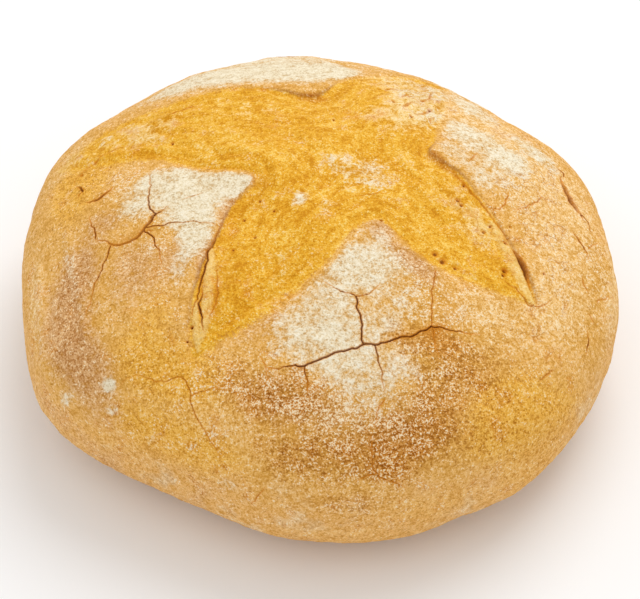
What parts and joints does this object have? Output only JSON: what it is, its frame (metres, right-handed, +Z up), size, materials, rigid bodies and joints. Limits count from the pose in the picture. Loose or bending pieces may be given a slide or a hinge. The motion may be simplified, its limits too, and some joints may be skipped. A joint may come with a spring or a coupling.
{
  "type": "sourdough loaf",
  "caption": "Round hearth-baked sourdough loaf: low dome with a cross-shaped score opened into four arms, raised crust edges and a flat underside.",
  "frame": {"origin": "on the flat spot that the loaf rests on, straight under the crown, at the level of the table", "axes": "+Z up through the crown of the dome; the loaf's front, its broad front crust, faces -Y; +X to the right seen from the front"},
  "size_m": [0.2398, 0.2412, 0.0991],
  "materials": {
    "crust": "dry baked crust, matt, dusted with flour"
  },
  "bodies": {
    "root": {"loaf": "crust"}
  },
  "joints": []
}
